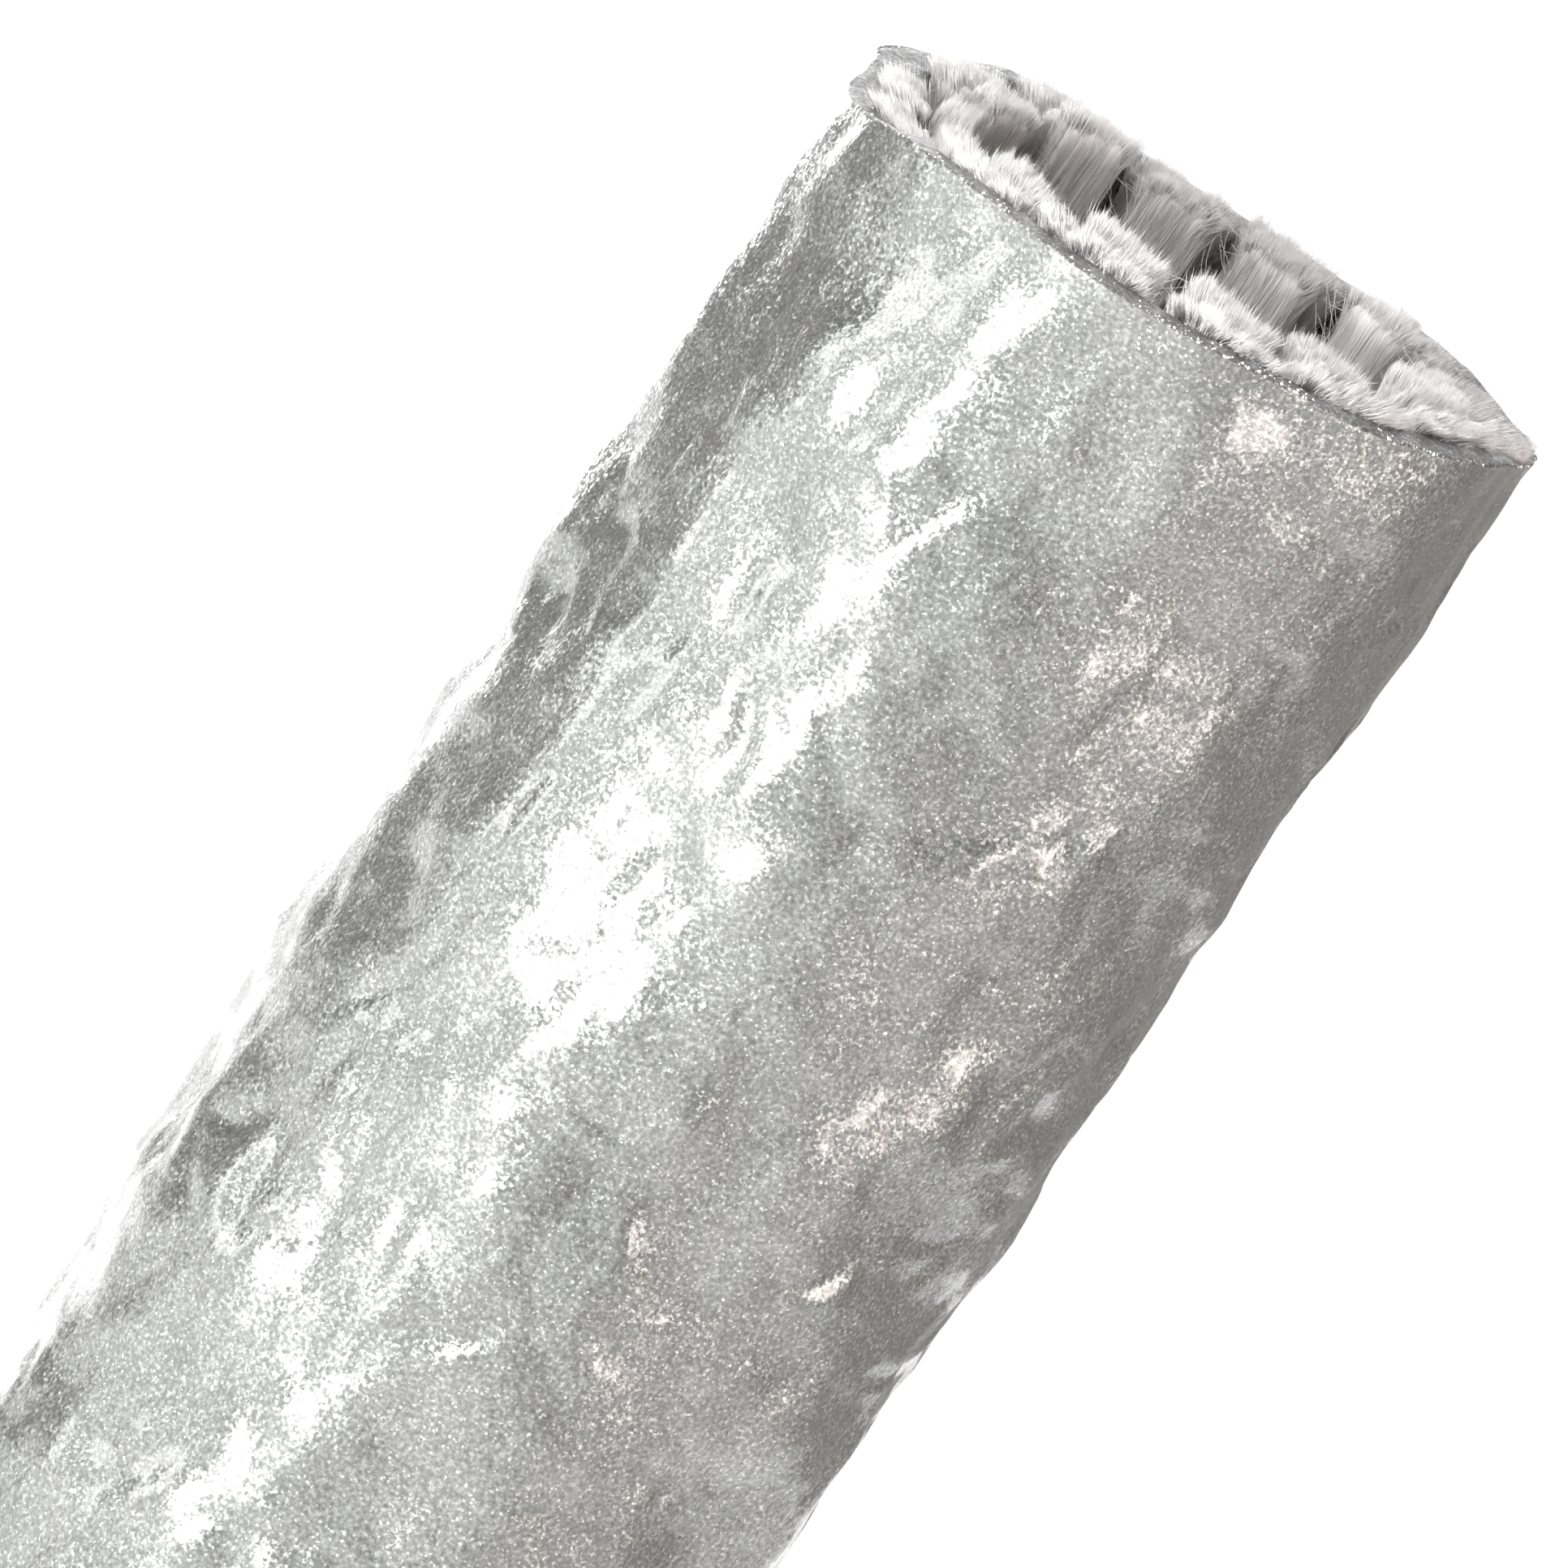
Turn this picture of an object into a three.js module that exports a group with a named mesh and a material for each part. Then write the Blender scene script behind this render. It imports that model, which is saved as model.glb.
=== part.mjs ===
// A cut length of fire sleeve: glass-fibre sleeving with a silver-grey silicone rubber jacket,
// which slides over a hose or cable to shield it from flame and radiant heat.
// Millimetres, +Z up along the sleeve. The origin is the centre of the square-cut lower end.
import * as THREE from "three";

// Driving dimensions.
const BORE_DIAMETER = 16; // clear way for the covered hose
const WALL = 3.7; // jacket and glass fibre together
const JACKET_WALL = 1.1;
const SLEEVE_LENGTH = 100;
const CUT_SLOPE = Math.tan(THREE.MathUtils.degToRad(2.6)); // the upper end is cut by hand, out of square
const CUT_FLARE = 0.06; // the rubber spreads a little at the knife
const FLARE_LENGTH = 1;
const WALE_COUNT = 14; // bundles of glass yarn round the bore
const INNER_ROVING = { thickness: 1.15, width: 2.5 }; // lies at the bore
const OUTER_ROVING = { thickness: 1.15, width: 3.4 }; // lies against the jacket
const LAYER_GAP = 0.15; // between the jacket, the outer and the inner rovings
const FRAY = { inner: 0.5, outer: 0.28 }; // how far cut yarn stands above the jacket's rim
const NEAR_FRAY = { inner: 0.3, outer: 0.2 }; // how much further it does so at the front
const UNEVEN_FRAY = { inner: 0.1, outer: 0.08 }; // how much that differs from bundle to bundle
const LOWER_RECESS = 0.4; // the yarn is pressed back where the sleeve stands
const WALE_TURN = THREE.MathUtils.degToRad(-2.8); // where the first bundle lies round the bore
const WANDER = THREE.MathUtils.degToRad(1.2); // how far a bundle strays round the bore
const LEAN = THREE.MathUtils.degToRad(1); // how far an outer bundle lies off its inner one

const SLEEVE_AXIS = new THREE.Vector3(0, 0, 1);

// Derived radii.
const BORE_RADIUS = BORE_DIAMETER / 2;
const OUTER_RADIUS = BORE_RADIUS + WALL;
const JACKET_BORE_RADIUS = OUTER_RADIUS - JACKET_WALL;

// Mesh fineness.
const JACKET_SIDES = 44;
const JACKET_ROWS = 22;
const ROVING_STEPS = 9;
const ARC_POINTS = 2;

// The jacket's uneven surface: slow waves that wind round it. Height is in millimetres,
// lobes is the number of waves round the sleeve, and pitch is the rise of one wave.
const JACKET_WAVES = [
  { height: 0.11, lobes: 1, pitch: 33, phase: 0.6 },
  { height: 0.09, lobes: 3, pitch: -24, phase: 2.1 },
  { height: 0.08, lobes: 4, pitch: 19, phase: 4.0 },
  { height: 0.07, lobes: 6, pitch: -14, phase: 5.2 },
];

// Where the knife went higher or lower than its straight cut. Height is in millimetres; the
// middle and the spread of each rise are in degrees round the sleeve.
const CUT_RISES = [
  { height: 0.4, middle: -24, spread: 20 },
  { height: -0.75, middle: -165, spread: 22 },
  { height: 0.62, middle: 130, spread: 22 },
  { height: 0.34, middle: 48, spread: 18 },
];

const silverSilicone = new THREE.MeshStandardMaterial({
  name: "silver_silicone",
  color: 0xa9aba8,
  roughness: 0.35,
  metalness: 0.5,
});
const glassFibre = new THREE.MeshStandardMaterial({
  name: "glass_fibre",
  color: 0xe6e3de,
  roughness: 0.9,
  metalness: 0,
});

function waveAt(angle, z) {
  return JACKET_WAVES.reduce(
    (sum, wave) =>
      sum + wave.height * Math.cos(wave.lobes * angle + (2 * Math.PI * z) / wave.pitch + wave.phase),
    0,
  );
}

// How high the cut is above the sleeve's nominal length, at a place on the ring.
function cutRise(angle, radius) {
  const uneven = CUT_RISES.reduce((sum, { height, middle, spread }) => {
    const away = THREE.MathUtils.radToDeg(angle) - middle;
    const offset = THREE.MathUtils.euclideanModulo(away + 180, 360) - 180;
    return sum + height * Math.exp(-((offset / spread) ** 2));
  }, 0);
  return CUT_SLOPE * radius * Math.cos(angle) + uneven;
}

// Moves each vertex of a geometry to where the function puts it.
function reshape(geometry, place) {
  const positions = geometry.getAttribute("position");
  const vertex = new THREE.Vector3();
  for (let i = 0; i < positions.count; i++) {
    place(vertex.fromBufferAttribute(positions, i));
    positions.setXYZ(i, vertex.x, vertex.y, vertex.z);
  }
  geometry.computeVertexNormals();
  return geometry;
}

// The jacket's half section, round its closed outline from the bore's foot and back.
function jacketProfile() {
  const shoulder = SLEEVE_LENGTH - FLARE_LENGTH;
  const profile = [new THREE.Vector2(JACKET_BORE_RADIUS, 0)];
  for (let row = 0; row <= JACKET_ROWS; row++)
    profile.push(new THREE.Vector2(OUTER_RADIUS, (shoulder * row) / JACKET_ROWS));
  profile.push(new THREE.Vector2(OUTER_RADIUS + CUT_FLARE, SLEEVE_LENGTH));
  profile.push(new THREE.Vector2(JACKET_BORE_RADIUS, SLEEVE_LENGTH));
  profile.push(profile[0].clone());
  return profile;
}

function buildJacket() {
  const middleRadius = (OUTER_RADIUS + JACKET_BORE_RADIUS) / 2;
  const geometry = new THREE.LatheGeometry(jacketProfile(), JACKET_SIDES).rotateX(Math.PI / 2);
  reshape(geometry, (vertex) => {
    const radius = Math.hypot(vertex.x, vertex.y);
    const angle = Math.atan2(vertex.y, vertex.x);
    const wave = radius > middleRadius ? waveAt(angle, vertex.z) : 0;
    vertex.x *= 1 + wave / radius;
    vertex.y *= 1 + wave / radius;
    vertex.z *= 1 + cutRise(angle, radius) / SLEEVE_LENGTH;
  });
  const mesh = new THREE.Mesh(geometry, silverSilicone);
  mesh.name = "silicone_jacket";
  return mesh;
}

// A flattened bundle's section: a stretch of the ring between two radii, with rounded flanks.
function rovingSection(innerRadius, thickness, width) {
  const outerRadius = innerRadius + thickness;
  const middleRadius = innerRadius + thickness / 2;
  const halfAngle = width / 2 / middleRadius;
  const flankAngle = halfAngle - thickness / 3 / middleRadius;
  const onRing = (radius, angle) => [radius * Math.cos(angle), radius * Math.sin(angle)];
  const shape = new THREE.Shape();
  shape.absarc(0, 0, outerRadius, -flankAngle, flankAngle, false);
  shape.quadraticCurveTo(...onRing(outerRadius, halfAngle), ...onRing(middleRadius, halfAngle));
  shape.quadraticCurveTo(...onRing(innerRadius, halfAngle), ...onRing(innerRadius, flankAngle));
  shape.absarc(0, 0, innerRadius, flankAngle, -flankAngle, true);
  shape.quadraticCurveTo(...onRing(innerRadius, -halfAngle), ...onRing(middleRadius, -halfAngle));
  shape.quadraticCurveTo(...onRing(outerRadius, -halfAngle), ...onRing(outerRadius, -flankAngle));
  return shape;
}

// Where a wale's middle lies round the bore.
function waleAngle(wale) {
  return (2 * Math.PI * wale) / WALE_COUNT + WALE_TURN;
}

// One bundle of parallel glass filaments, from the lower end to its cut tip.
function buildRoving(layer, { thickness, width }, innerRadius, wale, lean) {
  const angle = waleAngle(wale) + lean;
  const uneven = layer === "inner" ? Math.sin(2.4 * wale + 2.5) : Math.cos(1.9 * wale);
  const fray = FRAY[layer] - NEAR_FRAY[layer] * Math.sin(angle) + UNEVEN_FRAY[layer] * uneven;
  const tip = SLEEVE_LENGTH + cutRise(angle, innerRadius) + fray;
  const geometry = new THREE.ExtrudeGeometry(rovingSection(innerRadius, thickness, width), {
    depth: tip - LOWER_RECESS,
    steps: ROVING_STEPS,
    curveSegments: ARC_POINTS,
    bevelEnabled: false,
  });
  reshape(geometry, (vertex) => {
    const stray = WANDER * Math.sin((2 * Math.PI * vertex.z) / 70 + 1.7 * wale);
    vertex.applyAxisAngle(SLEEVE_AXIS, stray);
  });
  const mesh = new THREE.Mesh(geometry, glassFibre);
  mesh.name = `${layer}_roving_${String(wale + 1).padStart(2, "0")}`;
  mesh.position.z = LOWER_RECESS;
  mesh.rotation.z = angle;
  return mesh;
}

const outerRovingRadius = JACKET_BORE_RADIUS - LAYER_GAP - OUTER_ROVING.thickness;
const sleeve = new THREE.Group();
sleeve.add(buildJacket());
for (let wale = 0; wale < WALE_COUNT; wale++)
  sleeve.add(
    buildRoving("inner", INNER_ROVING, BORE_RADIUS, wale, 0),
    buildRoving("outer", OUTER_ROVING, outerRovingRadius, wale, LEAN * Math.sin(2.9 * wale)),
  );

export default sleeve;
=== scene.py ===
"""A cut length of silver fire sleeve: a lumpy silicone jacket over bundles of glass yarn, frayed at the cut.

The sleeve's sizes are in millimetres until a mesh is made. Everything in a material, and the floor,
the cards, the lights and the camera, is in metres. The front of the sleeve is its -Y side.
"""

import math
import random

import bpy
import numpy as np
from mathutils import Matrix, Vector, noise


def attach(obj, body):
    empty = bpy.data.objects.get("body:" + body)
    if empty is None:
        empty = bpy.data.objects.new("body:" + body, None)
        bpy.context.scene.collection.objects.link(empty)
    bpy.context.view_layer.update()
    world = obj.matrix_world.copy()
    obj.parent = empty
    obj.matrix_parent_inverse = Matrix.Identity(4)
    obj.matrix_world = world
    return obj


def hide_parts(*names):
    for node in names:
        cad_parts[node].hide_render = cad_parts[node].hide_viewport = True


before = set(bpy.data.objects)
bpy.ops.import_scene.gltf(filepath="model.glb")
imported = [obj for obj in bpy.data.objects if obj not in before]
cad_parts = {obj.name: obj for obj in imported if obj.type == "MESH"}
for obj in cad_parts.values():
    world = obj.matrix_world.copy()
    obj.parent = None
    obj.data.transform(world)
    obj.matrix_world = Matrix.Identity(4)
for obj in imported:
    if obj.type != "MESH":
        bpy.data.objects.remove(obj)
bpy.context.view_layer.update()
MM = 0.001
FULL_TURN = 2 * math.pi

# ---------------------------------------------------------------- sizes, which repeat those of the CAD model
OUTER_RADIUS = 11.7
JACKET_BORE_RADIUS = 10.6
SLEEVE_LENGTH = 100.0
CUT_SLOPE = math.tan(math.radians(2.6))
CUT_FLARE = 0.06
CUT_RISES = (  # the height of each, then its middle and spread in degrees round the sleeve
    (0.40, -24, 20),
    (-0.75, -165, 22),
    (0.62, 130, 22),
    (0.34, 48, 18),
)
WALE_COUNT = 14
WALE_TURN = math.radians(-2.8)
WANDER = math.radians(1.2)
WANDER_PITCH = 70
LEAN = math.radians(1.0)
LAYERS = {
    "inner": {"low": 8.0, "high": 9.15, "width": 2.5, "fray": 0.50, "near_fray": 0.30, "uneven_fray": 0.10},
    "outer": {"low": 9.3, "high": 10.45, "width": 3.4, "fray": 0.28, "near_fray": 0.20, "uneven_fray": 0.08},
}


# ---------------------------------------------------------------- helpers
def smoothstep(low, high, x):
    t = np.clip((x - low) / (high - low), 0.0, 1.0)
    return t * t * (3 - 2 * t)


def noise_at(points):
    """Smooth noise, about -1 to 1, at each of some points."""
    return np.array([noise.noise(Vector(point)) for point in points.tolist()])


def perlin(points, size, seed, stretch=1.0):
    """Noise with features of about that size; stretch draws it out along the sleeve."""
    return noise_at(points / (size, size, size * stretch) + (17.3 * seed, -9.1 * seed, 5.7 * seed))


def stacked(x, y, z):
    """Points from their coordinates, any of which may be one number for all."""
    return np.stack(np.broadcast_arrays(x, y, z), axis=-1)


def ring_points(radius, angle, z):
    return stacked(radius * np.cos(angle), radius * np.sin(angle), z)


def degrees_off(angle, middle):
    """How far an angle is from a middle that is given in degrees, from -180 to 180."""
    return np.mod(np.degrees(angle) - middle + 180, 360) - 180


def cut_rise(angle, radius):
    """How high the cut is above the sleeve's nominal length."""
    rise = CUT_SLOPE * radius * np.cos(angle)
    for height, middle, spread in CUT_RISES:
        rise = rise + height * np.exp(-((degrees_off(angle, middle) / spread) ** 2))
    return rise


def link_mesh(name, vertices, faces, materials):
    """A new object in the scene, from vertices in metres."""
    mesh = bpy.data.meshes.new(name)
    mesh.from_pydata(vertices, [], faces)
    for material in materials:
        mesh.materials.append(material)
    obj = bpy.data.objects.new(name, mesh)
    bpy.context.scene.collection.objects.link(obj)
    return obj


def make_piece(name, vertices, faces, materials, node):
    """A smooth-shaded piece of the sleeve that stands for a CAD node."""
    obj = link_mesh(name, (vertices * MM).tolist(), faces, materials)
    obj.data.polygons.foreach_set("use_smooth", [True] * len(faces))
    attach(obj, "root")
    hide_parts(node)
    return obj


# ---------------------------------------------------------------- materials
MIX_FACTOR, MIX_A, MIX_B, MIX_RESULT = 0, 6, 7, 2  # a Mix node's sockets for colours


def grey(tone):
    return (tone, tone, tone)


class Nodes:
    """A material's node tree, with short calls to add and join nodes."""

    def __init__(self, name):
        self.material = bpy.data.materials.new(name)
        self.material.use_nodes = True
        self.tree = self.material.node_tree
        self.shader = self.tree.nodes["Principled BSDF"]
        self.coordinates = self.add("ShaderNodeTexCoord").outputs["Object"]

    def add(self, kind, inputs=None, **settings):
        node = self.tree.nodes.new(kind)
        for key, value in settings.items():
            setattr(node, key, value)
        for key, value in (inputs or {}).items():
            self.put(node, key, value)
        return node

    def put(self, node, key, value):
        if isinstance(value, bpy.types.NodeSocket):
            self.tree.links.new(value, node.inputs[key])
        else:
            node.inputs[key].default_value = value

    def finish(self, **values):
        """Sets the shader's sockets, whose names are written with underscores, and gives the material."""
        for key, value in values.items():
            self.put(self.shader, key.replace("_", " "), value)
        return self.material

    def noise(self, scale, detail=2.0, roughness=0.5, vector=None, output="Fac"):
        inputs = {"Scale": scale, "Detail": detail, "Roughness": roughness, "Vector": vector or self.coordinates}
        return self.add("ShaderNodeTexNoise", inputs).outputs[output]

    def cells(self, scale):
        """A random colour for each cell."""
        return self.add("ShaderNodeTexVoronoi", {"Scale": scale, "Vector": self.coordinates}).outputs["Color"]

    def math(self, operation, a, b, c=0.0):
        return self.add("ShaderNodeMath", {0: a, 1: b, 2: c}, operation=operation).outputs[0]

    def vector_math(self, operation, a, inputs):
        return self.add("ShaderNodeVectorMath", {0: a, **inputs}, operation=operation).outputs

    def split(self, vector):
        return self.add("ShaderNodeSeparateXYZ", {"Vector": vector}).outputs

    def ramp(self, value, *stops):
        """A colour ramp; each stop is a position and a colour."""
        node = self.add("ShaderNodeValToRGB", {"Fac": value})
        elements = node.color_ramp.elements
        while len(elements) < len(stops):
            elements.new(0.5)
        for element, (position, color) in zip(elements, stops):
            element.position = position
            element.color = (*color, 1.0)
        return node.outputs["Color"]

    def mix(self, factor, a, b, blend="MIX"):
        """b over a; both are a colour's socket or its three parts."""
        node = self.add("ShaderNodeMix", {MIX_FACTOR: factor}, data_type="RGBA", blend_type=blend)
        for index, color in ((MIX_A, a), (MIX_B, b)):
            self.put(node, index, color if isinstance(color, bpy.types.NodeSocket) else (*color, 1.0))
        return node.outputs[MIX_RESULT]

    def multiply(self, a, b):
        return self.mix(1.0, a, b, "MULTIPLY")

    def bump(self, height, distance, strength=1.0, normal=None):
        inputs = {"Height": height, "Distance": distance, "Strength": strength}
        if normal is not None:
            inputs["Normal"] = normal
        return self.add("ShaderNodeBump", inputs).outputs["Normal"]

    def odd_cells(self, scale, share, amount):
        """amount in the few cells whose own random value is above share, and 0 in the rest."""
        red = self.add("ShaderNodeSeparateColor", {"Color": self.cells(scale)}).outputs[0]
        return self.math("MULTIPLY", self.math("GREATER_THAN", red, share), amount)

    def tilt(self, normal, color, amount):
        """The normal, turned a little by a random colour, as a metal flake lies."""
        centred = self.vector_math("SUBTRACT", color, {1: grey(0.5)})[0]
        scaled = self.vector_math("SCALE", centred, {"Scale": amount})[0]
        summed = self.vector_math("ADD", scaled, {1: normal})[0]
        return self.vector_math("NORMALIZE", summed, {})[0]


def silver_silicone():
    """Grey rubber full of aluminium flakes, with a clear glossy skin and an orange-peel surface."""
    n = Nodes("silver_silicone")
    lumps = n.noise(scale=620.0, detail=3.0)
    skin = n.bump(lumps, distance=0.00009)
    flakes_laid = n.tilt(skin, n.noise(scale=6200.0, roughness=0.6, output="Color"), amount=0.85)
    flakes_laid = n.tilt(flakes_laid, n.cells(scale=15000.0), amount=0.12)
    cloudy = n.noise(scale=300.0, detail=4.0, roughness=0.6)
    clouds = n.ramp(cloudy, (0.3, (0.232, 0.239, 0.233)), (0.7, (0.299, 0.304, 0.295)))
    speck = n.noise(scale=7400.0, roughness=0.6)
    specks = n.ramp(speck, (0.34, grey(0.62)), (0.52, grey(0.87)), (0.70, grey(1.42)))
    flake = n.odd_cells(scale=14000.0, share=0.96, amount=0.42)
    return n.finish(
        Base_Color=n.mix(flake, n.multiply(clouds, specks), (0.86, 0.86, 0.85)),
        Metallic=0.84,
        Roughness=0.31,
        Normal=flakes_laid,
        Coat_Weight=0.7,
        Coat_Roughness=0.09,
        Coat_Normal=n.bump(lumps, distance=0.00003),
    )


def cut_silicone():
    """The knife's face through the rubber: dull, darker and gritty."""
    n = Nodes("silver_silicone_cut")
    torn = n.bump(n.noise(scale=900.0, detail=4.0, roughness=0.6), distance=0.00025, strength=0.9)
    torn = n.bump(n.noise(scale=6500.0, roughness=0.6), distance=0.00004, normal=torn)
    cloudy = n.noise(scale=1100.0, detail=4.0, roughness=0.65)
    clouds = n.ramp(cloudy, (0.32, (0.07, 0.068, 0.068)), (0.68, (0.20, 0.198, 0.196)))
    gritty = n.noise(scale=8200.0, roughness=0.6)
    grit = n.ramp(gritty, (0.38, grey(0.6)), (0.55, grey(1.0)), (0.68, grey(2.6)))
    return n.finish(
        Base_Color=n.multiply(clouds, grit),
        Metallic=0.2,
        Roughness=n.math("MULTIPLY_ADD", n.noise(scale=3000.0), 0.3, 0.4),
        Normal=torn,
    )


def grain_painted_glint():
    """Loose aluminium grains on the cut edge; their near-white, mostly matte colour is a painted glint."""
    n = Nodes("grain_painted_glint")
    shiny = n.noise(scale=9000.0)
    return n.finish(
        # Painted glint: a near-white colour that shines whatever the light.
        Base_Color=n.ramp(shiny, (0.3, (0.90, 0.89, 0.87)), (0.7, (0.98, 0.98, 0.97))),
        Metallic=0.3,
        Roughness=0.35,
        Normal=n.bump(n.noise(scale=9000.0), distance=0.00001),
    )


def glass_fibre():
    """Glass yarn: fine lengthwise streaks and a soft sheen, white where it is cut, and grey below, where the yarn
    lies tight; that grey is partly painted shade of the bore.
    """
    n = Nodes("glass_fibre")
    lengthwise = n.add("ShaderNodeMapping", {"Vector": n.coordinates, "Scale": (1.0, 1.0, 0.035)}).outputs[0]
    strand = n.noise(scale=7600.0, detail=3.0, roughness=0.6, vector=lengthwise)
    thread = n.noise(scale=2200.0, vector=lengthwise)
    furrowed = n.bump(thread, distance=0.00012, strength=0.8)
    furrowed = n.bump(strand, distance=0.00003, strength=0.9, normal=furrowed)
    strands = n.ramp(strand, (0.32, (0.66, 0.65, 0.635)), (0.47, (0.96, 0.95, 0.94)), (0.62, (1.0, 0.995, 0.99)))
    patches = n.ramp(n.noise(scale=450.0), (0.3, (0.90, 0.89, 0.88)), (0.7, grey(1.0)))
    white = n.multiply(strands, patches)
    # The yarn opens out and turns white in the last millimetre below the cut and in the last millimetre above the
    # foot. The white band also reaches further down at the front (-Y) and at the left (-X). This is painted light on
    # the sides where the light falls, and painted shade towards the back and +X.
    x, y, z = n.split(n.coordinates)
    cut_and_lit_side = n.math("MULTIPLY_ADD", z, 830.0, -82.4)
    # Painted light: these two terms make the yarn whiter lower down at the front and at the left.
    cut_and_lit_side = n.math("MULTIPLY_ADD", y, -60.0, cut_and_lit_side)
    cut_and_lit_side = n.math("MULTIPLY_ADD", x, -40.0, cut_and_lit_side)
    at_foot = n.math("MULTIPLY_ADD", z, -700.0, 1.0)
    opened_and_lit = n.ramp(n.math("MAXIMUM", cut_and_lit_side, at_foot), (0.0, grey(0.0)), (1.0, grey(1.0)))
    # Painted shade: the grey tone below the cut is partly the yarn's own and partly shade of the bore, painted in.
    shaded_packed_tone = n.multiply(white, (0.60, 0.59, 0.575))
    return n.finish(
        Base_Color=n.mix(opened_and_lit, shaded_packed_tone, white),
        Roughness=0.5,
        Normal=furrowed,
        Sheen_Weight=0.5,
        Sheen_Roughness=0.4,
        Specular_IOR_Level=0.4,
    )


SILICONE = silver_silicone()
SILICONE_CUT = cut_silicone()
GRAIN = grain_painted_glint()
GLASS = glass_fibre()

# ---------------------------------------------------------------- the jacket
COLUMNS = 264
FINE_ROWS = 208
COARSE_ROWS = 104
FINE_FROM = 46.0  # the height above which the rows are closer together
SKIN_MARGIN = 0.12  # between the skin's first and last rows and the sleeve's ends
EDGE_ROWS = (0.08, 0.05)  # how far below the nominal length the cut edge's own rows are
LUMPS = (  # the height and size of each kind, the seed of its noise, and how far it is drawn out along the sleeve
    (0.50, 5.0, 1, 1.25),
    (0.30, 2.7, 2, 1.4),
    (0.11, 1.25, 3, 1.3),
    (0.02, 0.65, 4, 1.0),
)
CREASE_DEPTH = 0.10
DENTS = 190
DENT_LENGTH = (0.6, 1.6)
DENT_WIDTH = (0.28, 0.6)
DENT_DEPTH = (0.05, 0.17)
DENT_REACH = 3.5
FLAPS = (  # where the cut edge sticks out: middle and spread in degrees, height and length
    (159, 9, 0.75, 1.6),
    (14, 9, 0.30, 3.6),
)
GRAINS = 420
GRAIN_GROUPS = 46
GROUP_SPREAD = 3.0  # in columns
GRAIN_DEPTH = 2.2  # how far in from the cut's outer edge a grain lies, on average, in rows
GRAIN_LEAST, GRAIN_MORE, GRAIN_MOST_MORE = 0.022, 0.018, 0.05  # a grain's least radius; what is added, and its limit
GRAIN_CORNERS = np.array([(1, 0, 0), (-1, 0, 0), (0, 1, 0), (0, -1, 0), (0, 0, 1), (0, 0, -1)], float)
GRAIN_SIDES = ((0, 2, 4), (2, 1, 4), (1, 3, 4), (3, 0, 4), (2, 0, 5), (1, 2, 5), (3, 1, 5), (0, 3, 5))
KNIFE_SLANT = 0.05  # how much lower the cut is at the skin than at the bore, at the front
MIDDLE_RING = 10.0  # the raggedness of the cut is that of this ring, all through the wall
DULL_KINDS = {"edge", "cut", "foot"}  # the rows round which the rubber is a cut face, not skin


def cut_height(angle, radius):
    """Where the knife went through at the upper end, for a place on the ring."""
    points = ring_points(MIDDLE_RING, angle, 0.0)
    ragged = 0.09 * perlin(points, 4.5, seed=11) + 0.06 * perlin(points, 1.6, seed=12)
    near = np.clip(0.2 - np.sin(angle), 0, 1)
    slant = KNIFE_SLANT * near * smoothstep(JACKET_BORE_RADIUS, OUTER_RADIUS, radius)
    return SLEEVE_LENGTH + cut_rise(angle, radius) + ragged - slant


def follow_cut(z, top):
    """Heights up to the nominal length, stretched towards the upper end so that they meet the cut."""
    return z * (1 + (top - SLEEVE_LENGTH)[None, :] / SLEEVE_LENGTH * (z / SLEEVE_LENGTH) ** 3)


def jacket_relief(angle, z):
    """How far the jacket's surface stands out from its nominal radius: lumps of several sizes, and creases."""
    points = ring_points(OUTER_RADIUS, angle, z)
    relief = sum(height * perlin(points, size, seed, stretch) for height, size, seed, stretch in LUMPS)
    crease = smoothstep(0.86, 1.0, 1 - np.abs(perlin(points, 2.9, seed=5, stretch=1.6)))
    where = smoothstep(0.05, 0.4, perlin(points, 6.0, seed=6))
    return relief - CREASE_DEPTH * crease * where


def press_dents(angle, z, relief):
    """Small curved dents with one steep side and a raised lip, scattered over the whole jacket."""
    rng = random.Random(31)
    margin = 1.5
    for _ in range(DENTS):
        at_angle = rng.uniform(-math.pi, math.pi)
        at_z = rng.uniform(margin, SLEEVE_LENGTH - margin)
        turn = rng.gauss(0.0, 0.7)
        length, width, depth = rng.uniform(*DENT_LENGTH), rng.uniform(*DENT_WIDTH), rng.uniform(*DENT_DEPTH)
        across = (np.mod(angle - at_angle + math.pi, FULL_TURN) - math.pi) * OUTER_RADIUS
        near = (np.abs(across) < DENT_REACH) & (np.abs(z - at_z) < DENT_REACH)
        u, v = across[near], z[near] - at_z
        along = u * math.sin(turn) + v * math.cos(turn)
        side = u * math.cos(turn) - v * math.sin(turn) + 0.25 * along * along / length
        slope = np.where(side > 0, width * 0.45, width * 1.4)
        pit = np.exp(-((along / length) ** 2) - (side / slope) ** 2)
        lip = np.exp(-((along / length) ** 2) - ((side - 0.8 * width) / (0.5 * width)) ** 2)
        relief[near] += -depth * pit + 0.4 * depth * lip
    return relief


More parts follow.
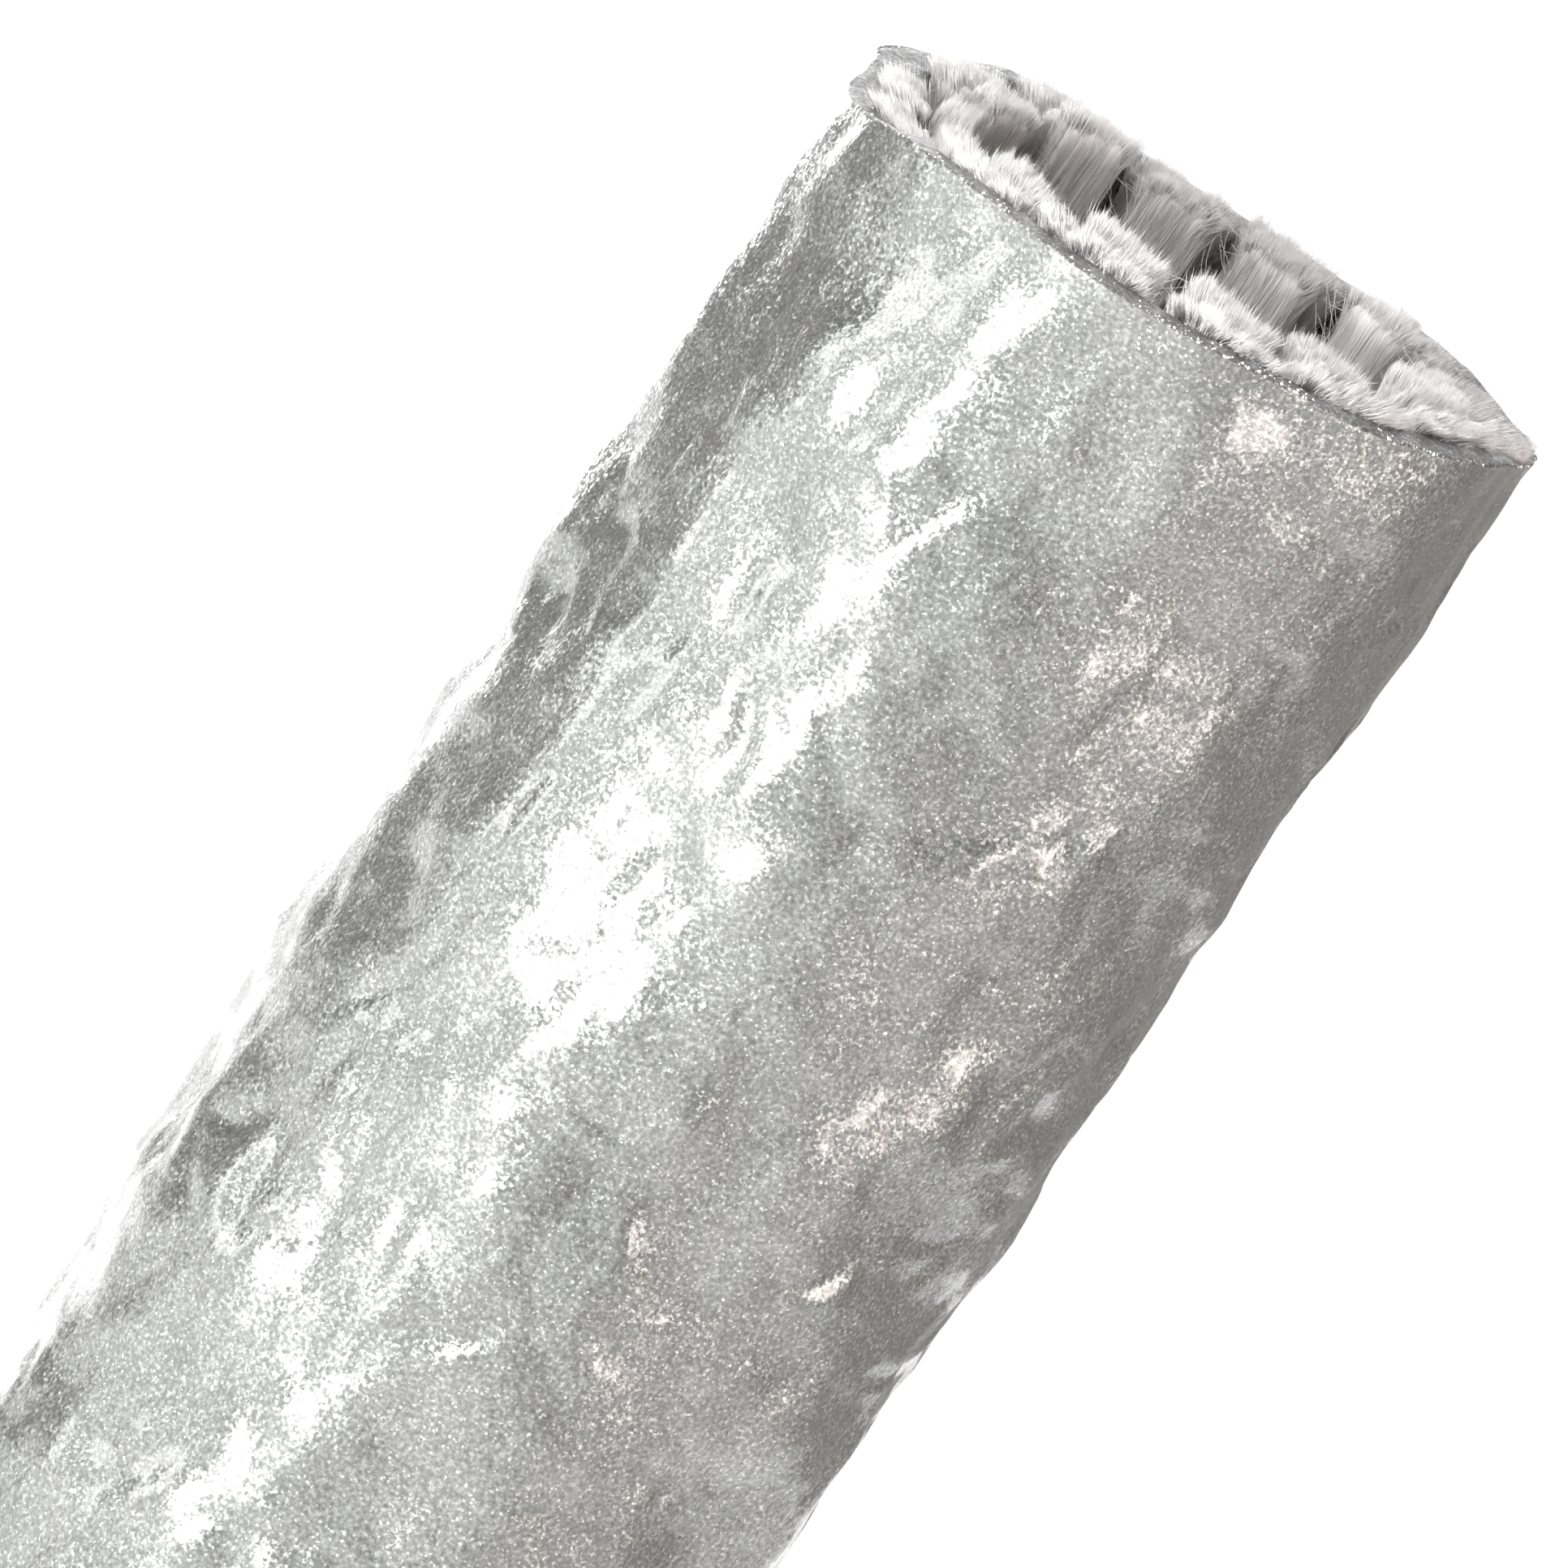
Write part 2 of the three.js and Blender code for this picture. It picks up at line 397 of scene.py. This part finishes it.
def outer_surface(angle):
    """The outside, from the foot up, as a grid of radii and a grid of heights."""
    heights = np.concatenate([
        np.linspace(SKIN_MARGIN, FINE_FROM, COARSE_ROWS, endpoint=False),
        np.linspace(FINE_FROM, SLEEVE_LENGTH - SKIN_MARGIN, FINE_ROWS),
        [SLEEVE_LENGTH - below for below in EDGE_ROWS],
    ])
    grid_angle, z = np.meshgrid(angle, heights)
    relief = jacket_relief(grid_angle.ravel(), z.ravel())
    relief = press_dents(grid_angle.ravel(), z.ravel(), relief).reshape(z.shape)
    flare = CUT_FLARE * smoothstep(SLEEVE_LENGTH - 1.0, SLEEVE_LENGTH, z) ** 1.6
    for middle, spread, height, length in FLAPS:
        bulge = np.exp(-(np.abs(degrees_off(grid_angle, middle) / spread) ** 3))
        flare += height * bulge * smoothstep(SLEEVE_LENGTH - length, SLEEVE_LENGTH, z)
    calm = 1 - 0.2 * smoothstep(SLEEVE_LENGTH - 1.0, SLEEVE_LENGTH, z)
    calm *= 1 - 0.6 * smoothstep(1.0, 0.0, z)
    radius = OUTER_RADIUS + relief * calm + flare
    kinds = ["skin"] * (len(heights) - len(EDGE_ROWS)) + ["edge"] * len(EDGE_ROWS)
    return radius, follow_cut(z, cut_height(angle, OUTER_RADIUS)), kinds


def bore_lumps(angle, z):
    return 0.13 * perlin(ring_points(JACKET_BORE_RADIUS, angle, z), 2.2, seed=21)


def cut_face(angle, outside):
    """The rough face at the upper end, ring by ring from the outside to the bore."""
    bore = JACKET_BORE_RADIUS + bore_lumps(angle, SLEEVE_LENGTH)
    for share in (0.03, *np.linspace(0.12, 0.88, 7), 0.97):
        ring = outside * (1 - share) + bore * share
        spots = ring_points(ring, angle, SLEEVE_LENGTH)
        rough = 0.06 * perlin(spots, 0.9, seed=22) + 0.05 * perlin(spots, 0.4, seed=23)
        off_middle = np.abs(share - 0.5) * 2
        z = cut_height(angle, ring) + rough * (1 - off_middle**4) - 0.07 * off_middle**6
        yield ring_points(ring, angle, z)[None]


def bore_surface(angle):
    """The inside of the jacket, from the cut down, as a grid of radii and a grid of heights."""
    heights = np.concatenate([
        np.linspace(SLEEVE_LENGTH - 0.15, SLEEVE_LENGTH - 4.0, 13),
        np.linspace(SLEEVE_LENGTH - 5.0, 5.0, 19),
        np.linspace(4.0, 0.15, 10),
    ])
    grid_angle, z = np.meshgrid(angle, heights)
    points = ring_points(JACKET_BORE_RADIUS, grid_angle.ravel(), z.ravel())
    lumps = bore_lumps(grid_angle.ravel(), z.ravel()) + 0.05 * perlin(points, 0.9, seed=24)
    return JACKET_BORE_RADIUS + lumps.reshape(z.shape), follow_cut(z, cut_height(angle, JACKET_BORE_RADIUS))


def rim_grains(rim):
    """Small eight-sided grains half sunk in the cut, thickest at its outer edge and in loose groups."""
    rng = np.random.default_rng(77)
    vertices, faces = [], []
    groups = rng.uniform(0, COLUMNS, GRAIN_GROUPS)
    for _ in range(GRAINS):
        column = int(rng.choice(groups) + rng.normal(0, GROUP_SPREAD)) % COLUMNS
        row = min(int(rng.exponential(GRAIN_DEPTH)), rim.shape[0] - 2)
        size = GRAIN_LEAST + min(rng.exponential(GRAIN_MORE), GRAIN_MOST_MORE)
        over, up = rng.random(2)
        next_column = (column + 1) % COLUMNS
        spot = (
            (1 - up) * ((1 - over) * rim[row, column] + over * rim[row, next_column])
            + up * ((1 - over) * rim[row + 1, column] + over * rim[row + 1, next_column])
            + rng.uniform(-0.4, 0.4, 3) * size
        )
        start = len(vertices)
        vertices += (spot + GRAIN_CORNERS * size * rng.uniform(0.75, 1.25, (6, 1))).tolist()
        faces += [tuple(start + corner for corner in side) for side in GRAIN_SIDES]
    return np.array(vertices), np.array(faces)


def build_jacket():
    """One closed skin, whose outline runs up the outside, over the cut, down the bore and back under the foot."""
    angle = np.linspace(0, FULL_TURN, COLUMNS, endpoint=False)
    outer_radius, outer_z, kinds = outer_surface(angle)
    cut_rows = list(cut_face(angle, outer_radius[-1]))
    bore_radius, bore_z = bore_surface(angle)
    foot_rows = [
        ring_points(bore_radius[-1] * (1 - share) + outer_radius[0] * share, angle, 0.0)[None]
        for share in (0.06, 0.25, 0.5, 0.75, 0.94)
    ]
    grid = np.concatenate([
        ring_points(outer_radius, angle, outer_z), *cut_rows, ring_points(bore_radius, angle, bore_z), *foot_rows,
    ])
    kinds += ["cut"] * len(cut_rows) + ["bore"] * len(bore_z) + ["foot"] * len(foot_rows)
    count = len(grid)
    below = np.arange(count * COLUMNS).reshape(count, COLUMNS)
    above = np.roll(below, -1, axis=0)
    faces = np.stack([below, np.roll(below, -1, axis=1), np.roll(above, -1, axis=1), above], axis=-1)
    dull = [not DULL_KINDS.isdisjoint((kinds[i], kinds[(i + 1) % count])) for i in range(count)]
    grain_vertices, grain_faces = rim_grains(grid[kinds.index("edge"):kinds.index("bore")])
    jacket = make_piece(
        "silicone_jacket_skin",
        np.concatenate([grid.reshape(-1, 3), grain_vertices]),
        faces.reshape(-1, 4).tolist() + (grain_faces + below.size).tolist(),
        [SILICONE, SILICONE_CUT, GRAIN],
        "silicone_jacket",
    )
    materials = np.concatenate([np.repeat(dull, COLUMNS), np.full(len(grain_faces), 2)])
    jacket.data.polygons.foreach_set("material_index", materials.astype(np.int32))


build_jacket()

# ---------------------------------------------------------------- the glass yarn
CORE_POINTS = 64
CORE_FOOT = 0.62
CORE_BELOW_TOP = 0.22
FOOT_FRAY = 0.75
FOOT_END = 0.6  # where the loose filaments at the foot end
SPLAY, SPLAY_LENGTH = 0.06, 1.5  # cut yarn opens out by this share, over this length
STEP_SIZE = 1.3
FILAMENT_SIDES = 3
TIP_THICKNESS = (0.020, 0.040)
LENGTHWISE_THICKNESS = (0.018, 0.032)
WISP_THICKNESS = (0.024, 0.036)
STUCK_SHARE, STUCK_TIMES = 0.16, 2.1  # filaments that stick together are this share, and this much thicker
TIPS = {"inner": 2000, "outer": 2400}
FOOT_TIPS = 700


class Strands:
    """Gathers closed solids into one list of vertices and faces."""

    def __init__(self):
        self.vertices = []
        self.faces = []
        self.count = 0

    def add_solid(self, vertices, *face_groups):
        for faces in face_groups:
            self.faces += (faces + self.count).tolist()
        self.vertices.append(vertices)
        self.count += len(vertices)

    def add_filaments(self, paths, thickness):
        """paths is an array (filaments, points, 3); each filament is closed, and tapers to its last point."""
        filaments, points, _ = paths.shape
        along = np.gradient(paths, axis=1)
        along /= np.linalg.norm(along, axis=2, keepdims=True) + 1e-9
        side = np.cross(along, (0.31, 0.87, 0.38))
        side /= np.linalg.norm(side, axis=2, keepdims=True) + 1e-9
        other = np.cross(along, side)
        taper = np.linspace(1.0, 0.6, points - 1)
        taper[0] = 0.5
        half_thickness = (thickness[:, None] * taper / 2)[..., None]
        lines = []
        for turn in FULL_TURN * np.arange(FILAMENT_SIDES) / FILAMENT_SIDES:
            out = side * math.cos(turn) + other * math.sin(turn)
            lines.append(paths[:, :-1] + out[:, :-1] * half_thickness)
        body = np.stack(lines, axis=2).reshape(filaments, -1, 3)
        block = np.concatenate([body, paths[:, -1:]], axis=1)
        size = block.shape[1]
        pattern = []
        for ring in range(0, (points - 2) * FILAMENT_SIDES, FILAMENT_SIDES):
            for corner in range(FILAMENT_SIDES):
                a, b = ring + corner, ring + (corner + 1) % FILAMENT_SIDES
                pattern += [(a, b, b + FILAMENT_SIDES), (a, b + FILAMENT_SIDES, a + FILAMENT_SIDES)]
        last = (points - 2) * FILAMENT_SIDES
        for corner in range(FILAMENT_SIDES):
            pattern.append((last + corner, last + (corner + 1) % FILAMENT_SIDES, size - 1))
        pattern.append(tuple(reversed(range(FILAMENT_SIDES))))
        starts = np.arange(filaments)[:, None, None] * size
        self.add_solid(block.reshape(-1, 3), (np.array(pattern)[None] + starts).reshape(-1, 3))


class Bundle:
    """One flattened bundle of parallel filaments, from the foot to its frayed tip."""

    def __init__(self, kind, wale):
        layer = LAYERS[kind]
        self.inner = kind == "inner"
        self.wale = wale
        self.low, self.high, self.width = layer["low"], layer["high"], layer["width"]
        self.half = self.width / 2
        self.half_height = (self.high - self.low) / 2
        self.seed = wale * 2 + self.inner + 1
        self.rng = np.random.default_rng(500 + self.seed)
        lean = 0.0 if self.inner else LEAN * math.sin(2.9 * wale)
        self.angle = FULL_TURN * wale / WALE_COUNT + WALE_TURN + lean
        self.nearness = -math.sin(self.angle)  # 1 at the front of the sleeve, -1 at the back
        uneven = math.sin(2.4 * wale + 2.5) if self.inner else math.cos(1.9 * wale)
        fray = layer["fray"] + layer["near_fray"] * self.nearness + layer["uneven_fray"] * uneven
        self.top = SLEEVE_LENGTH + float(cut_rise(self.angle, self.low)) + fray
        self.ragged = 0.20 + 0.16 * self.nearness
        self.strands = Strands()

    def place(self, across, height, z):
        """From the bundle's own section to the sleeve; height runs from -1 at the bore to 1."""
        middle = (self.low + self.high) / 2
        stray = WANDER * np.sin(FULL_TURN * z / WANDER_PITCH + 1.7 * self.wale)
        return ring_points(middle + height * self.half_height, self.angle + stray + across / middle, z)

    def broad_steps(self, across, seed):
        """Whether an end is long or short at each place across the bundle, about -1 to 1."""
        return noise_at(stacked(across / STEP_SIZE, seed * 3.3, 4.0))

    def add_core(self):
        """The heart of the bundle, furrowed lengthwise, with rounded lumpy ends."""
        turn = FULL_TURN * np.arange(CORE_POINTS) / CORE_POINTS
        squareness = 0.55
        across = np.sign(np.cos(turn)) * np.abs(np.cos(turn)) ** squareness * self.half
        height = np.sign(np.sin(turn)) * np.abs(np.sin(turn)) ** squareness
        tip = self.top - CORE_BELOW_TOP
        dome = np.array([1.0, 0.985, 0.95, 0.89, 0.8, 0.66, 0.48, 0.28, 0.1])
        dome_drop = 0.42 * (1 - np.sqrt(1 - dome**2.6))
        foot_dome = slice(4, -1)
        body = np.concatenate([
            np.linspace(CORE_FOOT + 0.3, 4.0, 5),
            np.linspace(7.0, 88.0, 16),
            np.linspace(90.0, tip - 0.46, 18),
        ])
        z_rows = np.concatenate([CORE_FOOT + dome_drop[::-1][foot_dome] * 0.6, body, tip - dome_drop])
        sizes = np.concatenate([dome[::-1][foot_dome], np.ones(len(body)), dome])
        steps = self.ragged * self.broad_steps(across, self.seed)
        rows = []
        for z, size in zip(z_rows, sizes):
            furrow = noise_at(stacked(8.0 * np.cos(turn), 8.0 * np.sin(turn) + z / 11.0, self.seed * 3.7))
            swell = size * (1 + 0.035 * furrow) + 0.03 * noise.noise(Vector((z / 6.0, self.seed * 1.9, 0.0)))
            swell = swell * splay(z, self.top)
            lump = noise_at(stacked(across * swell / 0.7, height * swell, self.seed * 2.3))
            lift = (0.10 * lump + steps) * smoothstep(tip - 0.9, tip - 0.1, z)
            rows.append(self.place(across * swell * 0.98, height * swell * 0.93, z + lift))
        grid = np.stack(rows)
        index = np.arange(grid.shape[0] * CORE_POINTS).reshape(-1, CORE_POINTS)
        after = np.roll(index, -1, axis=1)
        sides = np.stack([index[:-1], index[1:], after[1:], after[:-1]], axis=-1).reshape(-1, 4)
        foot_middle, tip_middle = index.size, index.size + 1
        foot_cap = stacked(index[0], after[0], foot_middle)
        tip_cap = stacked(after[-1], index[-1], tip_middle)
        middles = [grid[0].mean(axis=0), grid[-1].mean(axis=0)]
        self.strands.add_solid(np.concatenate([grid.reshape(-1, 3), middles]), sides, foot_cap, tip_cap)

    def add_brush(self, end_z, up, count, spread, seed, uneven):
        """The frayed tips at one end: up is 1 at the top and -1 at the foot."""
        rng = self.rng
        spots = section_spots(rng, count)
        number = len(spots)
        across, height = spots[:, 0] * self.half, spots[:, 1]
        clump_points = stacked(across / 0.55, height * 0.9, seed * 5.1)
        lean_z, lean_across, lean_radial = (noise_at(clump_points + (shift, 0, 0)) for shift in (0.0, 31.0, 67.0))
        near = max(self.nearness, 0.0)
        wild = rng.random(number) < 0.07 + 0.08 * near
        rim = np.maximum(np.abs(spots[:, 0]), np.abs(spots[:, 1]))
        root = 0.5 + rng.uniform(0, 0.4, number) + rng.uniform(0.5, 3.5, number) * (rim > 0.85)
        broad = self.broad_steps(across, seed)
        reach = 0.10 - 0.26 * rim**5 + 0.34 * lean_z + uneven * broad + rng.normal(0, 0.05 + 0.02 * near, number)
        reach += wild * rng.uniform(0, 0.32, number)
        loose = 1 + 1.5 * wild
        sway_across = spread * (0.45 * spots[:, 0] + 0.9 * lean_across) + rng.normal(0, 0.14, number) * loose
        sway_radial = spread * (0.2 * spots[:, 1] + 0.9 * lean_radial) + rng.normal(0, 0.14, number) * loose
        outward = 0.0
        if up > 0 and self.inner:
            sway_radial = 0.6 * np.abs(sway_radial) - 0.05
        elif up > 0:
            outward = 0.75 - 0.35 * max(-self.nearness, 0.0) + 0.9 * np.maximum(broad, 0)
        thickness = rng.uniform(*TIP_THICKNESS, number) * np.where(rng.random(number) < STUCK_SHARE, STUCK_TIMES, 1.0)
        paths = []
        for step in (0.0, 0.62, 1.0):
            z = end_z + up * (-root + (root + reach) * step)
            bend = smoothstep(-0.9, reach, z - end_z) if up > 0 else step**1.8
            paths.append(self.place(
                across * splay(z, end_z) + sway_across * bend * 0.5,
                height * splay(z, end_z) + (sway_radial * bend * 0.4 + outward * bend**2) / self.half_height,
                z,
            ))
        self.strands.add_filaments(np.stack(paths, axis=1), thickness)

    def add_lengthwise(self, end_z, up, count):
        """Long single filaments that lie on the bundle's faces near an end."""
        rng = self.rng
        side = rng.random(count)
        across = rng.uniform(-1, 1, count) * self.half * 0.96
        height = np.where(side < 0.7, -0.97, 0.97) * (1 - 0.25 * np.abs(across / self.half) ** 4)
        length = rng.uniform(2.5, 7.0, count)
        start = rng.uniform(0.1, 1.2, count)
        slant = rng.normal(0, 0.035, count)
        bow = rng.normal(0, 0.06, count)
        paths = []
        for step in np.linspace(0, 1, 6):
            arch = math.sin(math.pi * step)
            down = start + length * (1 - step)
            sink = 0.05 * arch * rng.uniform(0.3, 1.5)
            shift = slant * down + bow * arch
            paths.append(self.place(across + shift, height - np.sign(height) * sink, end_z - up * down))
        self.strands.add_filaments(np.stack(paths, axis=1), rng.uniform(*LENGTHWISE_THICKNESS, count))

    def add_wisps(self, end_z, up, count):
        """Loose filaments that cross the gap beside the bundle."""
        rng = self.rng
        pitch = FULL_TURN / WALE_COUNT * (self.low + self.high) / 2
        across = self.half * rng.uniform(0.7, 0.98, count)
        far = self.half + (pitch - self.width) * rng.uniform(0.3, 1.15, count)
        down_from = rng.uniform(0.2, 3.2, count)
        down_to = np.maximum(down_from - rng.uniform(-0.6, 2.6, count), 0.08)
        swing = rng.normal(0, 0.14, count)
        height = rng.uniform(-1.0, -0.2, count)
        paths = []
        for step in np.linspace(0, 1, 7):
            arch = math.sin(math.pi * step)
            down = down_from * (1 - step) + down_to * step
            shift = across * (1 - step) + far * step + swing * arch
            paths.append(self.place(shift, height - 0.25 * arch, end_z - up * down))
        self.strands.add_filaments(np.stack(paths, axis=1), rng.uniform(*WISP_THICKNESS, count))


def splay(z, top):
    return 1 + SPLAY * smoothstep(top - SPLAY_LENGTH, top, z)


def section_spots(rng, count):
    """Random places across a bundle's rounded section, from -1 to 1 each way."""
    spots = rng.uniform(-1, 1, (count * 2, 2))
    inside = np.abs(spots[:, 0]) ** 3.4 + np.abs(spots[:, 1]) ** 3.4 < 1
    return spots[inside][:count]


def build_roving(kind, wale):
    bundle = Bundle(kind, wale)
    name = f"{kind}_roving_{wale + 1:02d}"
    bundle.add_core()
    spread = 1.1 + 0.25 * max(bundle.nearness, 0.0)
    bundle.add_brush(bundle.top, 1, TIPS[kind], spread, bundle.seed, bundle.ragged)
    bundle.add_brush(FOOT_FRAY, -1, FOOT_TIPS, spread=0.35, seed=bundle.seed + 40, uneven=0.1)
    bundle.add_lengthwise(bundle.top, 1, count=260)
    bundle.add_lengthwise(FOOT_END, -1, count=50)
    if bundle.inner:
        bundle.add_wisps(bundle.top, 1, count=12)
        bundle.add_wisps(FOOT_END, -1, count=4)
    strands = bundle.strands
    make_piece(f"{name}_yarn", np.concatenate(strands.vertices), strands.faces, [GLASS], name)


for wale in range(WALE_COUNT):
    for kind in LAYERS:
        build_roving(kind, wale)

# ---------------------------------------------------------------- floor, light and camera
FLOOR_RADIUS = 8.0
FLOOR_SIDES = 96
CARD_RADIUS = 0.28
CARD_HEIGHT = 0.35
CARD_COLUMNS = 24
AIM_HEIGHT = 0.08  # the lights point at the sleeve's upper part


def plain_floor():
    """White, and glowing a little more far from the sleeve, so that it is pale from every side."""
    n = Nodes("floor_white")
    away = n.vector_math("LENGTH", n.coordinates, {})["Value"]
    glow = {"Value": away, "From Min": 0.5, "From Max": 1.4, "To Min": 0.40, "To Max": 0.90}
    white = n.finish(
        Base_Color=n.ramp(n.noise(scale=3.0), (0.3, grey(0.74)), (0.7, grey(0.76))),
        Roughness=0.8,
        Emission_Color=(1, 1, 1, 1),
        Emission_Strength=n.add("ShaderNodeMapRange", glow).outputs["Result"],
    )
    turn = np.arange(FLOOR_SIDES) * FULL_TURN / FLOOR_SIDES
    corners = ring_points(FLOOR_RADIUS, turn, -0.0002)
    link_mesh("floor", corners.tolist(), [tuple(range(FLOOR_SIDES))], [white])


def flag(name, start, end, first_tone, last_tone):
    """A curved warm-grey card beside the sleeve, shaded from end to end, which only reflections see.

    It runs from one azimuth to another, in degrees: 0 is the camera's side, and positive is to its right.
    """
    azimuth = np.radians(np.linspace(start, end, CARD_COLUMNS + 1))
    foot = ring_points(CARD_RADIUS, azimuth - math.pi / 2, 0.001)
    n = Nodes(name)
    first_y, last_y = foot[0, 1], foot[-1, 1]
    length = last_y - first_y
    along = n.math("MULTIPLY_ADD", n.split(n.coordinates)[1], 1 / length, -first_y / length)
    warm = np.array((1.0, 0.95, 0.90))
    shade = n.ramp(along, (0.0, first_tone * warm), (1.0, last_tone * warm))
    faces = [(i, i + 1, i + CARD_COLUMNS + 2, i + CARD_COLUMNS + 1) for i in range(CARD_COLUMNS)]
    vertices = np.concatenate([foot, foot + (0, 0, CARD_HEIGHT)]).tolist()
    card = link_mesh(name, vertices, faces, [n.finish(Base_Color=shade, Roughness=0.9)])
    card.visible_camera = card.visible_diffuse = card.visible_shadow = False


def softbox(name, azimuth, elevation, size, power, distance=0.26, color=(1.0, 1.0, 1.0)):
    """An area light aimed at the sleeve's upper part, with its azimuth and elevation in degrees as for a card."""
    light = bpy.data.lights.new(name, "AREA")
    light.shape = "RECTANGLE"
    light.size, light.size_y = size
    light.energy = power
    light.color = color
    lamp = bpy.data.objects.new(name, light)
    a, e = math.radians(azimuth), math.radians(elevation)
    away = Vector((math.sin(a) * math.cos(e), -math.cos(a) * math.cos(e), math.sin(e)))
    lamp.location = Vector((0, 0, AIM_HEIGHT)) + distance * away
    lamp.rotation_euler = away.to_track_quat("Z", "Y").to_euler()
    lamp.visible_camera = False
    bpy.context.scene.collection.objects.link(lamp)


def studio_world(front, back, zenith):
    """White all round for the camera; as light, brightest from behind and dimmer overhead."""
    world = bpy.data.worlds.new("studio")
    world.use_nodes = True
    tree = world.node_tree
    light = tree.nodes["Background"]
    white = tree.nodes.new("ShaderNodeBackground")
    white.inputs["Color"].default_value = (1, 1, 1, 1)
    direction = tree.nodes.new("ShaderNodeTexCoord").outputs["Generated"]
    parts = tree.nodes.new("ShaderNodeSeparateXYZ")
    tree.links.new(direction, parts.inputs[0])

    def grade(value, low, high, start, end):
        node = tree.nodes.new("ShaderNodeMapRange")
        node.interpolation_type = "SMOOTHSTEP"
        tree.links.new(value, node.inputs["Value"])
        for key, setting in (("From Min", low), ("From Max", high), ("To Min", start), ("To Max", end)):
            if isinstance(setting, bpy.types.NodeSocket):
                tree.links.new(setting, node.inputs[key])
            else:
                node.inputs[key].default_value = setting
        return node.outputs[0]

    around = grade(parts.outputs["Y"], -0.5, 0.5, front, back)
    tree.links.new(grade(parts.outputs["Z"], 0.55, 0.98, around, zenith), light.inputs["Strength"])
    mix = tree.nodes.new("ShaderNodeMixShader")
    seen = tree.nodes.new("ShaderNodeLightPath").outputs["Is Camera Ray"]
    for index, socket in enumerate((seen, light.outputs[0], white.outputs[0])):
        tree.links.new(socket, mix.inputs[index])
    tree.links.new(mix.outputs[0], tree.nodes["World Output"].inputs["Surface"])
    bpy.context.scene.world = world


def place_camera():
    """A long lens, a little above the cut end, turned so that the sleeve leans to the right."""
    camera = bpy.data.cameras.new("camera")
    camera.sensor_width = 36
    camera.lens = 453
    camera.clip_start = 0.01
    camera.clip_end = 50
    obj = bpy.data.objects.new("camera", camera)
    aim = Vector((-0.00158, 0, 0.0795))
    elevation, roll, distance = math.radians(11.3), math.radians(34.2), 0.6
    away = Vector((0, -math.cos(elevation), math.sin(elevation)))
    level = away.to_track_quat("Z", "Y").to_matrix().to_4x4()
    obj.matrix_world = Matrix.Translation(aim + distance * away) @ level @ Matrix.Rotation(roll, 4, "Z")
    bpy.context.scene.collection.objects.link(obj)
    bpy.context.scene.camera = obj


WARM = (1.0, 0.905, 0.86)
plain_floor()
flag("left_flag", start=-94, end=-131, first_tone=0.24, last_tone=0.20)
flag("right_flag", start=62, end=170, first_tone=0.58, last_tone=0.20)
studio_world(front=0.80, back=0.90, zenith=0.62)
softbox("key_softbox", azimuth=-35, elevation=14, size=(0.11, 0.26), power=1.10)
softbox("front_softbox", azimuth=4, elevation=6, size=(0.12, 0.26), power=0.12)
softbox("side_softbox", azimuth=-76, elevation=14, size=(0.04, 0.26), power=0.28)
softbox("fill_softbox", azimuth=42, elevation=13, size=(0.045, 0.11), power=0.17, color=WARM)
softbox("low_fill_softbox", azimuth=69, elevation=13, size=(0.045, 0.11), power=0.15, color=WARM)
softbox("top_softbox", azimuth=180, elevation=62, size=(1.2, 1.2), power=11.5, distance=1.0)
softbox("left_rim_softbox", azimuth=-160, elevation=10, size=(0.20, 0.20), power=0.85)
place_camera()
bpy.context.scene.view_settings.view_transform = "Standard"
